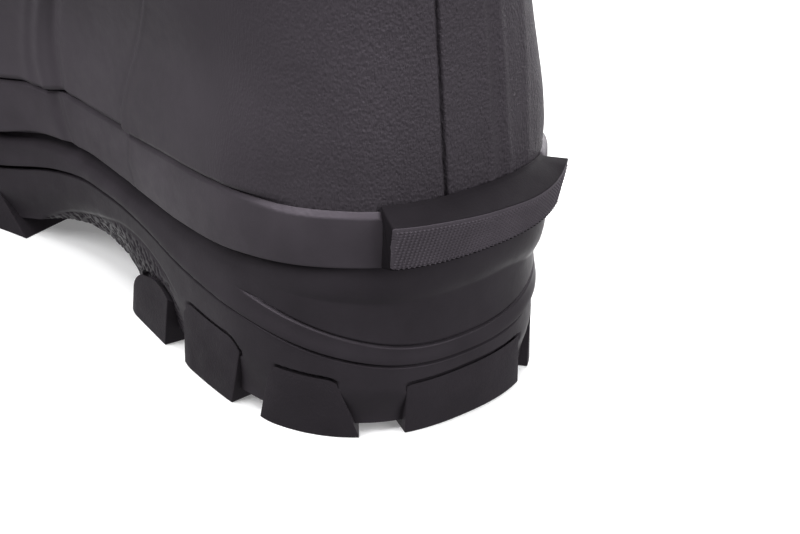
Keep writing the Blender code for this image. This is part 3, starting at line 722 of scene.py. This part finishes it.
def make_midsole(mat):
    """Cup-shaped midsole: lip above the rim, cove, sunk crescent panel at the heel and cup for the insole."""
    t = round_angles(fine=0.005, coarse=0.02)
    x = plan(t)[:, 0]
    low = sole("rim", x) + GAP
    wall = sole("feather", x) - FEATHER_GAP - low
    edge = (CRESCENT_BACK + CRESCENT_CLIMB * np.clip(x / CRESCENT_END, 0, 1)) * wall
    under = np.linspace(0, 1, CRESCENT_ROWS, endpoint=False)[:, None]
    over = np.linspace(0, 1, PANEL_ROWS)[:, None] ** PANEL_SPREAD
    rise = np.concatenate([edge * under, mix(edge, wall, over)])
    share = rise / wall
    cove = curve(COVE, "depth", x) * (1 - quarter(1 - share, 1 - curve(COVE, "start", x)))
    inset = mix(cove, heel_roll(t, share), roll_share(t)) - LIP_OUT * bell(rise - LIP_HEIGHT, LIP_REACH)
    groove = mix(RIM_GROOVE_HEEL, RIM_GROOVE_WAIST, ease(*RIM_GROOVE_WIDENS, x))
    inset = inset + crescent(t, x, share, rise - edge)
    inset = inset + RIM_GROOVE * (1 - ease(RIM_GROOVE_FLOOR * groove, groove, rise))
    rings = [np.concatenate([outline(t, inset), (low + rise)[..., None]], axis=-1)]
    for cup_inset, name, drop in ((CUP_WALL, "feather", FEATHER_GAP), (CUP_WALL + CUP_DRAFT, "floor", 0.0)):
        flat = outline(t, np.full(t.shape, cup_inset))
        rings.append(np.column_stack([flat, sole(name, flat[:, 0]) - drop])[None])
    data = grid_mesh("midsole_detail", np.concatenate(rings), caps="strip")
    return piece(data, "midsole_rubber", "midsole", mat)


def make_insole(mat):
    """Loose footbed in the midsole's cup, with softened edges."""
    t = round_angles(fine=0.02, coarse=0.03)
    rings = []
    for inset, rise in INSOLE_EDGE:
        flat = outline(t, np.full(t.shape, CUP_WALL + INSOLE_CLEAR + inset))
        rings.append(np.column_stack([flat, sole("floor", flat[:, 0]) + GAP + rise]))
    return piece(grid_mesh("insole_detail", np.array(rings), caps="strip"), "insole_felt", "insole", mat)


def side_distance(line, v, t):
    """Distance along the foot from a line that is given as angle against level."""
    return (np.abs(t) - smooth(line.levels, line.angles, v)) * SOLE_LENGTH / 2


def rand_edge(name, t):
    """Level of the rand's low or top edge; the top dips where the kick spur covers it."""
    turn = wrapped(t)
    edge = np.interp(np.abs(turn), column(RAND_EDGES, "angle"), column(RAND_EDGES, name))
    if name == "low":
        return edge
    return edge - RAND_DIP * within(RAND_DIP_SPAN, turn)


def back_relief(t, y, z):
    """Seam and soft ridges at the back of the upper."""
    out = 0.0
    for line in BACK_RIDGES:
        out = out + line.out * bell(y - np.interp(z, line.heights, line.places), line.width)
    out = out * (1 - ease(*BACK_SIDE_FADE, np.abs(t))) * (1 - ease(*BACK_FADE, z))
    seam = bell(y - np.interp(z, BACK_SEAM.heights, BACK_SEAM.places), BACK_SEAM.width)
    return out + BACK_SEAM.out * seam * (np.abs(t) < BACK_SIDE_FADE[1])


def fold_relief(v, t):
    """Folds on both sides of the upper, and the edge of the stiffened heel counter."""
    along = side_distance(COUNTER_EDGE, v, t)
    behind = ease(COUNTER_EDGE.width, -COUNTER_EDGE.width, along)
    out = COUNTER_EDGE.out * behind * np.exp(np.minimum(along, 0) / COUNTER_REACH)
    for line in COUNTER_LINES:
        out = out + line.out * bell(along - line.at, line.width)
    for line in SIDE_FOLDS:
        out = out + line.out * bell(side_distance(line, v, t), line.width)
    return out * (1 - ease(*FOLD_FADE, v))


def upper_relief(v, t, point):
    """How far the upper's moulded detail stands out from its form."""
    out = SWELL * ripple(point, SWELL_LENGTH, SWELL_SEED)
    out = out + back_relief(t, point[..., 1], point[..., 2]) + fold_relief(v, t)
    out = out + HEEL_FULL * within(HEEL_FULL_ANGLES, -t) * within(HEEL_FULL_LEVELS, v)
    flush = ease(*FLUSH_SIDE, np.abs(t)) * (1 - ease(*FLUSH_FADE, v))
    above = (v - rand_edge("top", t)) * LEVEL_HEIGHT
    lap = FLUSH_LOW * ease(0, FLUSH_STEP, above) + (FLUSH_OUT - FLUSH_LOW) * ease(0, FLUSH_ROUND, above)
    tuck = TUCK * (1 - roll_share(t)) * (1 - ease(0, TUCK_LEVEL, v))
    return out + flush * lap - tuck


def make_upper(mat):
    """Hollow rubber foot shell with its seam, folds and rounded top line."""
    t = np.concatenate([wrapped(round_angles(fine=0.0055, coarse=0.02)), np.arange(*SEAM_FINE)])
    t = even_angles(t, SEAM_FINE_LEAST)
    along_rand = RAND_TOP + even_runs(UPPER_RAND_ROWS)
    outside = np.concatenate([even_runs(UPPER_LOW_ROWS), along_rand, even_runs(UPPER_HIGH_ROWS)])[:, None]
    v = outside + (rand_edge("top", t) - RAND_TOP) * within(UPPER_NEAR_RAND, outside)
    rings = [form(v, t, upper_relief(v, t, form(v, t)))]
    rings += [form(TOPLINE_LEVEL - drop, t, -depth)[None] for drop, depth in UPPER_EDGE]
    rings.append(form(even_runs(UPPER_INSIDE_ROWS)[:, None], t, -UPPER_WALL))
    data = grid_mesh("upper_detail", np.concatenate(rings), join_ends=True)
    return piece(data, "upper_rubber", "upper", mat)


def make_rand(mat):
    """Raised band round the foot of the upper, flush with it at the sides, a bevelled ledge at the heel."""
    t = round_angles(fine=0.005, coarse=0.02)
    low, top = rand_edge("low", t), rand_edge("top", t)
    share = np.linspace(0, 1, RAND_ROWS)[:, None]
    share = share - RAND_ROW_EASE * np.sin(2 * pi * share) / pi
    v = mix(low, top, share)
    above = (top - v) * LEVEL_HEIGHT
    below = (v - low) * LEVEL_HEIGHT
    ledge = 1 - ease(*LEDGE_FADE, np.abs(t))
    spur_free = ease(*SPUR_FREE, np.abs(t))
    rounded = mix(RAND_TOP_STEP, 1, ease(0, RAND_TOP_ROUND, above))
    top_edge = mix(rounded, np.clip(above / LEDGE_HEIGHT, 0, 1), ledge)
    out = GAP + RAND_THICK * top_edge * mix(RAND_LOW_STEP, 1, quarter(below, RAND_LOW_ROUND))
    out = out + RAND_CROWN * np.sin(pi * share) * spur_free
    for line in RAND_FOLDS:
        out = out + line.out * bell(side_distance(line, v, t), line.width) * quarter(above, RAND_FOLD_ROUND)
    rough = LEDGE_ROUGH * ripple(form(v, t, out), LEDGE_GRAIN, LEDGE_SEED) * ledge * spur_free
    outside = form(v, t, out + rough * bell(above - LEDGE_ROUGH_AT, LEDGE_ROUGH_WIDTH))
    inside = form(mix(low, top, np.linspace(1, 0, RAND_INSIDE_ROWS)[:, None]), t, GAP)
    data = grid_mesh("rand_detail", np.concatenate([outside, inside]), join_ends=True)
    return piece(data, "rand_rubber", "rand", mat)


def corner(before, at, after, radius, rows):
    """Rounded corner of a profile: rows of points from one edge to the next."""
    start = at + radius * unit(before - at)
    end = at + radius * unit(after - at)
    s = np.linspace(0, 1, rows)[:, None, None]
    return start * (1 - s) ** 2 + 2 * at * s * (1 - s) + end * s ** 2


def straight(start, end, rows):
    """Rows of points from one edge to another, without its ends."""
    return mix(start, end, np.linspace(0, 1, rows + 2)[1:-1, None, None])


def end_rings(ring, before, radius):
    """Smaller rings that round off one end of a run of rings, the smallest first."""
    beyond = unit(ring - before)
    inwards = unit(ring.mean(axis=0) - ring)
    turns = np.linspace(pi / 2, 0, SPUR_END_ROWS + 1)[:-1]
    return np.array([ring + radius * (beyond * np.sin(a) + inwards * (1 - np.cos(a))) for a in turns])


def make_kick_spur(mats):
    """Wedge across the back of the heel with a smooth top and a knurled back face; the top is painted darker
    as painted shade and the face lighter as a painted sheen.
    """
    seat = GAP + RAND_THICK + GAP
    seat_t = np.linspace(angle_at(SPUR_SEAT_OUTER, -1), angle_at(SPUR_SEAT_INNER, 1), SPUR_STEPS)
    face_t = np.linspace(angle_at(SPUR_FACE_OUTER, -1), angle_at(SPUR_FACE_INNER, 1), SPUR_STEPS)
    seat_low = form(SPUR_LOW_LEVEL, seat_t, seat)
    face_low = form(SPUR_FACE_LOW_LEVEL, face_t, seat + SPUR_OUT_LOW)
    face_top = form(curve(SPUR_FACE_TOP, "level", face_t), face_t, seat + SPUR_OUT_TOP)
    top_level = curve(SPUR_SEAT_TOP, "level", seat_t)
    seat_top = form(top_level + SPUR_LIP_RISE, seat_t, SPUR_LIP)
    lip_low = form(top_level - SPUR_LIP_LEVELS, seat_t, SPUR_LIP)
    seat_high = form(top_level - SPUR_LIP_LEVELS, seat_t, seat)
    lip_foot = form(top_level, seat_t, SPUR_LIP)
    lip_foot = lip_foot + SPUR_LIP_FOOT * unit(face_top - lip_foot)
    low_corner = corner(seat_low, face_low, face_top, SPUR_ROUND, SPUR_CORNER_ROWS)
    top_corner = corner(face_low, face_top, lip_foot, SPUR_ROUND, SPUR_CORNER_ROWS)
    face = straight(low_corner[-1], top_corner[0], SPUR_FACE_ROWS)
    outward = unit(np.cross(np.gradient(face_low, axis=0), face_top - face_low))
    outward *= np.sign(np.sum(outward * (face_low - seat_low), axis=-1, keepdims=True))
    along = run_length(face_low)
    s = np.linspace(0, 1, SPUR_FACE_ROWS)[:, None]
    ribs = 0.5 + 0.5 * np.cos(2 * pi * (along / KNURL_PITCH + KNURL_SKEW * KNURL_ROWS * s))
    dots = ribs * (0.5 - 0.5 * np.cos(2 * pi * KNURL_ROWS * s))
    ends = within((0, KNURL_FADE, along[-1] - KNURL_FADE, along[-1]), along)
    knurl = KNURL_OUT * dots * ends * (1 - ease(1 - KNURL_MARGIN, 1, s))
    face = face + knurl[..., None] * outward
    scallops = ends * (0.5 + 0.5 * np.cos(2 * pi * along / SCALLOP_PITCH))
    scallop_out = np.linspace(SCALLOP_OUT_START, SCALLOP_OUT_END, SPUR_CORNER_ROWS)
    low_corner = low_corner + scallop_out[:, None, None] * scallops[:, None] * outward
    points = np.concatenate([
        straight(seat_low, low_corner[0], SPUR_LOW_ROWS),
        low_corner,
        face,
        top_corner,
        straight(top_corner[-1], lip_foot, SPUR_TOP_ROWS),
        [lip_foot, seat_top, lip_low, seat_high],
        straight(seat_high, seat_low, SPUR_SEAT_ROWS),
        [seat_low],
    ])
    rings = np.swapaxes(points, 0, 1)
    outer_end = end_rings(rings[0], rings[1], SPUR_END_ROUND_OUTER)
    inner_end = end_rings(rings[-1], rings[-2], SPUR_END_ROUND_INNER)
    data = grid_mesh("kick_spur_detail", np.concatenate([outer_end, rings, inner_end[::-1]]), caps="flat")
    first_face = SPUR_LOW_ROWS + SPUR_CORNER_ROWS - 1
    last_face = first_face + SPUR_FACE_ROWS + SPUR_CORNER_ROWS - 2
    count = len(points)
    # The back face takes the lighter material, a painted sheen; the rest of the spur keeps the darker one,
    # painted shade.
    for polygon in data.polygons:
        rows = [vertex % count for vertex in polygon.vertices]
        if first_face <= min(rows) and max(rows) <= last_face:
            polygon.material_index = 1
    return piece(data, "spur_rubber", "kick_spur", *mats)


def make_shaft(mat):
    """Neoprene leg, tucked into the rubber shell at the ankle."""
    t = round_angles(fine=0.02, coarse=0.025)
    outside = np.linspace(SHAFT_LEVEL, COLLAR_LEVEL, SHAFT_ROWS)[:, None]
    inside = np.linspace(COLLAR_LEVEL, SHAFT_LEVEL, SHAFT_INSIDE_ROWS)[:, None]
    depth = UPPER_WALL + GAP
    points = np.concatenate([form(outside, t, -depth), form(inside, t, -depth - SHAFT_WALL)])
    places = cloth_places(points, SHAFT_ROWS // 2)
    data = grid_mesh("shaft_detail", points, join_ends=True, cloth=places)
    return piece(data, "shaft_neoprene", "shaft", mat)


def make_collar_binding(mat):
    """Tape folded over the top edge of the shaft."""
    t = round_angles(fine=0.02, coarse=0.025)
    outer = -UPPER_WALL
    inner = outer - GAP - SHAFT_WALL - GAP
    low, high = COLLAR_LEVEL - BINDING_LEVELS, COLLAR_LEVEL
    cover = np.array([0.0, 0.0, GAP])
    crown = np.array([0.0, 0.0, GAP + BINDING_THICK])
    middle = (outer + inner) / 2
    half = (outer - inner) / 2 + BINDING_THICK
    edge = BINDING_EDGE * BINDING_THICK
    levels = np.linspace(low, high, BINDING_ROWS)[1:]
    rings = [form(low, t, outer), form(low, t, outer + edge)]
    rings += [form(v, t, outer + BINDING_THICK) for v in levels]
    for turn in np.linspace(0, pi, BINDING_TURN_ROWS)[1:-1]:
        rings.append(form(high, t, middle + half * np.cos(turn)) + crown * np.sin(turn))
    rings += [form(v, t, inner - BINDING_THICK) for v in levels[::-1]]
    rings += [form(low, t, inner - edge), form(low, t, inner)]
    rings += [form(high, t, inner) + cover, form(high, t, outer) + cover]
    points = np.array(rings)
    places = cloth_places(points, BINDING_MIDDLE_ROW)
    data = grid_mesh("binding_detail", points, join_ends=True, cloth=places)
    return piece(data, "binding_tape", "collar_binding", mat)


def make_stitches(mat):
    """Row of stitches round the collar binding."""
    v = COLLAR_LEVEL - STITCH_LEVEL
    face = BINDING_THICK - UPPER_WALL
    angles = np.linspace(-pi, pi, STITCH_PLACES)
    run = run_length(form(v, angles, face))
    pitch = run[-1] / STITCH_COUNT
    turn = 2 * pi * np.arange(STITCH_SIDES)[:, None] / STITCH_SIDES
    radius = np.full((STITCH_POINTS, 1, 1), STITCH_RADIUS)
    radius[[0, -1]] *= STITCH_TIP
    lift = STITCH_RADIUS * (np.sin(np.linspace(0, pi, STITCH_POINTS)) - STITCH_SUNK)
    mesh = bmesh.new()
    for i in range(STITCH_COUNT):
        t = np.interp(pitch * (i + np.linspace(0, STITCH_SHARE, STITCH_POINTS)), run, angles)
        centre = form(v, t, face + lift)
        outward = form(v, t, 1.0) - form(v, t, 0.0)
        across = np.cross(unit(np.gradient(centre, axis=0)), outward)
        circles = np.cos(turn) * outward[:, None] + np.sin(turn) * across[:, None]
        stitch = grid_mesh("stitch", centre[:, None] + radius * circles, caps="flat")
        mesh.from_mesh(stitch)
        bpy.data.meshes.remove(stitch)
    data = to_data(mesh, "binding_stitches")
    data.shade_smooth()
    data.materials.append(mat)
    made = add_object("binding_stitches", data)
    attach(made, "root")
    return made


class Nodes:
    """A node tree under construction."""

    def __init__(self, tree):
        self.nodes = tree.nodes
        self.links = tree.links

    def fill(self, node, values):
        """Give a node's inputs fixed values or the outputs of other nodes."""
        for name, value in values.items():
            if isinstance(value, bpy.types.NodeSocket):
                self.links.new(value, node.inputs[name])
            else:
                node.inputs[name].default_value = value

    def add(self, kind, output, values, **settings):
        """Output of a new node."""
        node = self.nodes.new(kind)
        for name, value in settings.items():
            setattr(node, name, value)
        self.fill(node, values)
        return node.outputs[output]

    def math(self, operation, a, b):
        return self.add("ShaderNodeMath", "Value", {0: a, 1: b}, operation=operation)

    def spread(self, value, low, high, new_low, new_high):
        """A value's range stretched to a new one and held at its ends."""
        limits = {"From Min": low, "From Max": high, "To Min": new_low, "To Max": new_high}
        return self.add("ShaderNodeMapRange", "Result", {"Value": value, **limits})


class Look(Nodes):
    """A node material under construction."""

    def __init__(self, name):
        self.mat = bpy.data.materials.new(name)
        self.mat.use_nodes = True
        super().__init__(self.mat.node_tree)
        self.shader = self.nodes["Principled BSDF"]
        self.places = self.add("ShaderNodeTexCoord", "Object", {})

    def shade(self, values):
        self.fill(self.shader, values)

    def cloth(self):
        """Texture places along and across a cloth, in millimetres."""
        return self.add("ShaderNodeUVMap", "UV", {}, uv_map="cloth")

    def along_foot(self, limits, ends):
        """A value that goes from one end to the other between two places along the foot."""
        x = self.add("ShaderNodeSeparateXYZ", "X", {"Vector": self.places})
        start, end = [(place - ORIGIN_X) * MM for place in limits]
        return self.spread(x, start, end, *ends)

    def noise(self, size, detail=2.0, roughness=0.5, stretch=(1.0, 1.0, 1.0)):
        """Noise with features of about size in millimetres."""
        places = self.add("ShaderNodeMapping", "Vector", {"Vector": self.places, "Scale": stretch})
        values = {"Vector": places, "Scale": 1.0 / (size * MM), "Detail": detail, "Roughness": roughness}
        return self.add("ShaderNodeTexNoise", "Fac", values)

    def cells(self, size):
        """Pebbled grain with cells of about size in millimetres."""
        values = {"Vector": self.places, "Scale": 1.0 / (size * MM), "Smoothness": 0.6}
        return self.add("ShaderNodeTexVoronoi", "Distance", values, feature="SMOOTH_F1")

    def wave(self, vector, pitch, direction):
        """Even waves with a pitch in the vector's own units."""
        values = {"Vector": vector, "Scale": 2 * pi / (20 * pitch)}
        return self.add("ShaderNodeTexWave", "Fac", values, wave_type="BANDS", bands_direction=direction)

    def colour(self, value, dark, light):
        """Base colour between two tones."""
        ramp = self.nodes.new("ShaderNodeValToRGB")
        for element, tone, position in zip(ramp.color_ramp.elements, (dark, light), (0.3, 0.7)):
            element.color = (*tone, 1.0)
            element.position = position
        self.fill(ramp, {"Fac": value})
        self.shade({"Base Color": ramp.outputs["Color"]})

    def roughness(self, low, high, noise):
        """Roughness that wanders between two values."""
        self.shade({"Roughness": self.spread(noise, 0.3, 0.7, low, high)})

    def bump(self, height, depth):
        """Fine relief of depth in millimetres."""
        values = {"Strength": 1.0, "Distance": depth * MM, "Height": height}
        self.shade({"Normal": self.add("ShaderNodeBump", "Normal", values)})


def tinted(tone):
    """Colour of black rubber at a tone."""
    return [part * tone for part in BLACK]


def rubber(row):
    """Moulded rubber: slightly cloudy black with a fine grain."""
    look = Look(row.name)
    look.colour(look.noise(14.0, detail=4.0), tinted(row.tone * 0.85), tinted(row.tone * 1.15))
    look.roughness(row.rough - 0.06, row.rough + 0.06, look.noise(5.0, detail=4.0, roughness=0.6))
    fine = look.math("MULTIPLY", look.noise(row.cell * 0.45, detail=3.0, roughness=0.6), 0.6)
    look.bump(look.math("ADD", look.math("MULTIPLY", look.cells(row.cell), 0.4), fine), row.depth)
    look.shade({"Specular IOR Level": row.specular, "Specular Tint": (*BLACK, 1.0)})
    return look.mat


def shell_rubber(name):
    """Rubber of the foot shell: leather-like grain, deepest round the back of the heel, and painted light
    that lightens the middle of the foot.
    """
    look = Look(name)
    # Painted light: a tone lighter in the middle of the foot and darker towards the heel and the toe.
    ends = [look.along_foot(limits, PAINTED_LIGHT_RANGE) for limits in (PAINTED_LIGHT_HEEL, PAINTED_LIGHT_TOE)]
    cloud = look.math("MULTIPLY", look.noise(16.0, detail=4.0), SHELL_CLOUD)
    tone = look.math("ADD", cloud, look.math("MINIMUM", *ends))
    look.colour(tone, tinted(SHELL_TONE * SHELL_DARK), tinted(SHELL_TONE * SHELL_LIGHT))
    look.roughness(0.44, 0.56, look.noise(4.0, detail=4.0, roughness=0.6))
    streaks = look.noise(GRAIN_STREAK, detail=3.0, roughness=0.6, stretch=(1.0, 1.0, GRAIN_STRETCH))
    grain = look.math("ADD", look.math("MULTIPLY", look.cells(GRAIN_CELL), 0.4), streaks)
    look.bump(look.math("MULTIPLY", grain, look.along_foot(GRAIN_FADE, GRAIN_RANGE)), GRAIN_DEPTH)
    look.shade({"Specular IOR Level": 0.3, "Specular Tint": (*BLACK, 1.0)})
    return look.mat


def neoprene(name):
    """Knitted face of a neoprene sheet."""
    look = Look(name)
    look.colour(look.noise(1.2, detail=3.0), tinted(0.012), tinted(0.023))
    look.roughness(0.72, 0.86, look.noise(3.0, detail=3.0))
    cloth = look.cloth()
    knit = look.math("MULTIPLY", look.wave(cloth, 0.9, "X"), look.wave(cloth, 0.7, "Y"))
    look.bump(look.math("ADD", knit, look.math("MULTIPLY", look.noise(0.5), 0.4)), 0.16)
    look.shade({"Sheen Weight": 0.15, "Sheen Roughness": 0.5, "Specular IOR Level": 0.3})
    return look.mat


def tape(name):
    """Woven binding tape."""
    look = Look(name)
    look.colour(look.noise(0.9, detail=3.0), (0.009, 0.009, 0.010), (0.018, 0.018, 0.019))
    look.roughness(0.62, 0.78, look.noise(2.0, detail=3.0))
    cloth = look.cloth()
    look.bump(look.math("ADD", look.wave(cloth, 1.1, "DIAGONAL"), look.wave(cloth, 0.8, "Y")), 0.12)
    look.shade({"Sheen Weight": 0.1, "Specular IOR Level": 0.35})
    return look.mat


def felt(name):
    """Grey felt of the footbed."""
    look = Look(name)
    look.colour(look.noise(0.8, detail=6.0, roughness=0.7), (0.045, 0.045, 0.048), (0.12, 0.12, 0.126))
    look.roughness(0.85, 0.95, look.noise(2.0, detail=3.0))
    look.bump(look.noise(0.35, detail=5.0, roughness=0.7, stretch=(1.0, 3.0, 1.0)), 0.25)
    look.shade({"Sheen Weight": 0.3})
    return look.mat


def thread(name):
    """Twisted sewing thread."""
    look = Look(name)
    look.colour(look.noise(0.4), (0.014, 0.014, 0.015), (0.03, 0.03, 0.032))
    look.roughness(0.5, 0.65, look.noise(0.5))
    look.bump(look.noise(0.25, stretch=(1.0, 1.0, 3.0)), 0.06)
    return look.mat


def make_floor():
    """Plain pale studio floor, a little lifted and without bounce light."""
    look = Look("studio_floor")
    look.colour(look.noise(300.0), (0.88, 0.88, 0.885), (0.90, 0.90, 0.905))
    look.shade({"Roughness": 0.9, "Specular IOR Level": 0.1})
    look.shade({"Emission Color": (1.0, 1.0, 1.0, 1.0), "Emission Strength": FLOOR_LIFT})
    mesh = bmesh.new()
    bmesh.ops.create_grid(mesh, x_segments=2, y_segments=2, size=FLOOR_SIZE)
    floor = add_object("studio_floor", to_data(mesh, "studio_floor"))
    floor.data.materials.append(look.mat)
    floor.location.z = -FLOOR_DROP
    floor.visible_diffuse = False
    floor.visible_glossy = False
    floor.visible_shadow = False


def aim(thing, at, direction):
    """Place a light or camera so that it looks in a direction."""
    thing.location = at
    thing.rotation_euler = direction.to_track_quat("-Z", "Y").to_euler()


def area_light(row):
    """Large soft light aimed at the boot."""
    data = bpy.data.lights.new(row.name, "AREA")
    data.shape = "SQUARE"
    data.size = row.size
    data.energy = row.watts
    aim(add_object(row.name, data), row.at, Vector(LIGHT_TARGET) - Vector(row.at))


def make_light():
    """Dim surround with a glow low beyond the boot, and soft boxes."""
    world = bpy.data.worlds.new("surround")
    world.use_nodes = True
    tree = Nodes(world.node_tree)
    direction = tree.add("ShaderNodeTexCoord", "Generated", {})
    height = tree.add("ShaderNodeSeparateXYZ", "Z", {"Vector": direction})
    low = tree.spread(height, *SURROUND_RANGE, SURROUND_LOW, 0.0)
    nearness = {0: direction, 1: GLOW_TOWARDS}
    towards = tree.add("ShaderNodeVectorMath", "Value", nearness, operation="DOT_PRODUCT")
    glow = tree.math("POWER", tree.math("MAXIMUM", towards, 0.0), GLOW_NARROWNESS)
    strength = tree.math("ADD", low, tree.math("MULTIPLY", glow, GLOW_STRENGTH))
    tree.fill(tree.nodes["Background"], {"Color": (1.0, 1.0, 1.0, 1.0), "Strength": strength})
    bpy.context.scene.world = world
    for row in SOFT_BOXES:
        area_light(row)


def make_camera():
    """Camera at the photo's angle."""
    data = bpy.data.cameras.new("photo_camera")
    data.lens = CAMERA_LENS
    data.sensor_width = CAMERA_SENSOR
    data.clip_start = CAMERA_CLIP
    camera = add_object("photo_camera", data)
    aim(camera, Vector(CAMERA_AT) * MM, Vector(CAMERA_FORWARD))
    bpy.context.scene.camera = camera


def main():
    make_camera()
    make_light()
    make_floor()
    rubbers = {row.name: rubber(row) for row in RUBBERS}
    make_outsole((rubbers["outsole_rubber"], rubbers["lug_rubber"]))
    make_midsole(rubbers["midsole_rubber"])
    make_insole(felt("insole_felt"))
    make_upper(shell_rubber("upper_rubber"))
    make_rand(rubbers["rand_rubber"])
    make_kick_spur((rubbers["spur_rubber"], rubbers["spur_face_rubber"]))
    make_shaft(neoprene("shaft_neoprene"))
    make_collar_binding(tape("binding_tape"))
    make_stitches(thread("binding_thread"))
    bpy.context.scene.view_settings.view_transform = "Standard"


main()
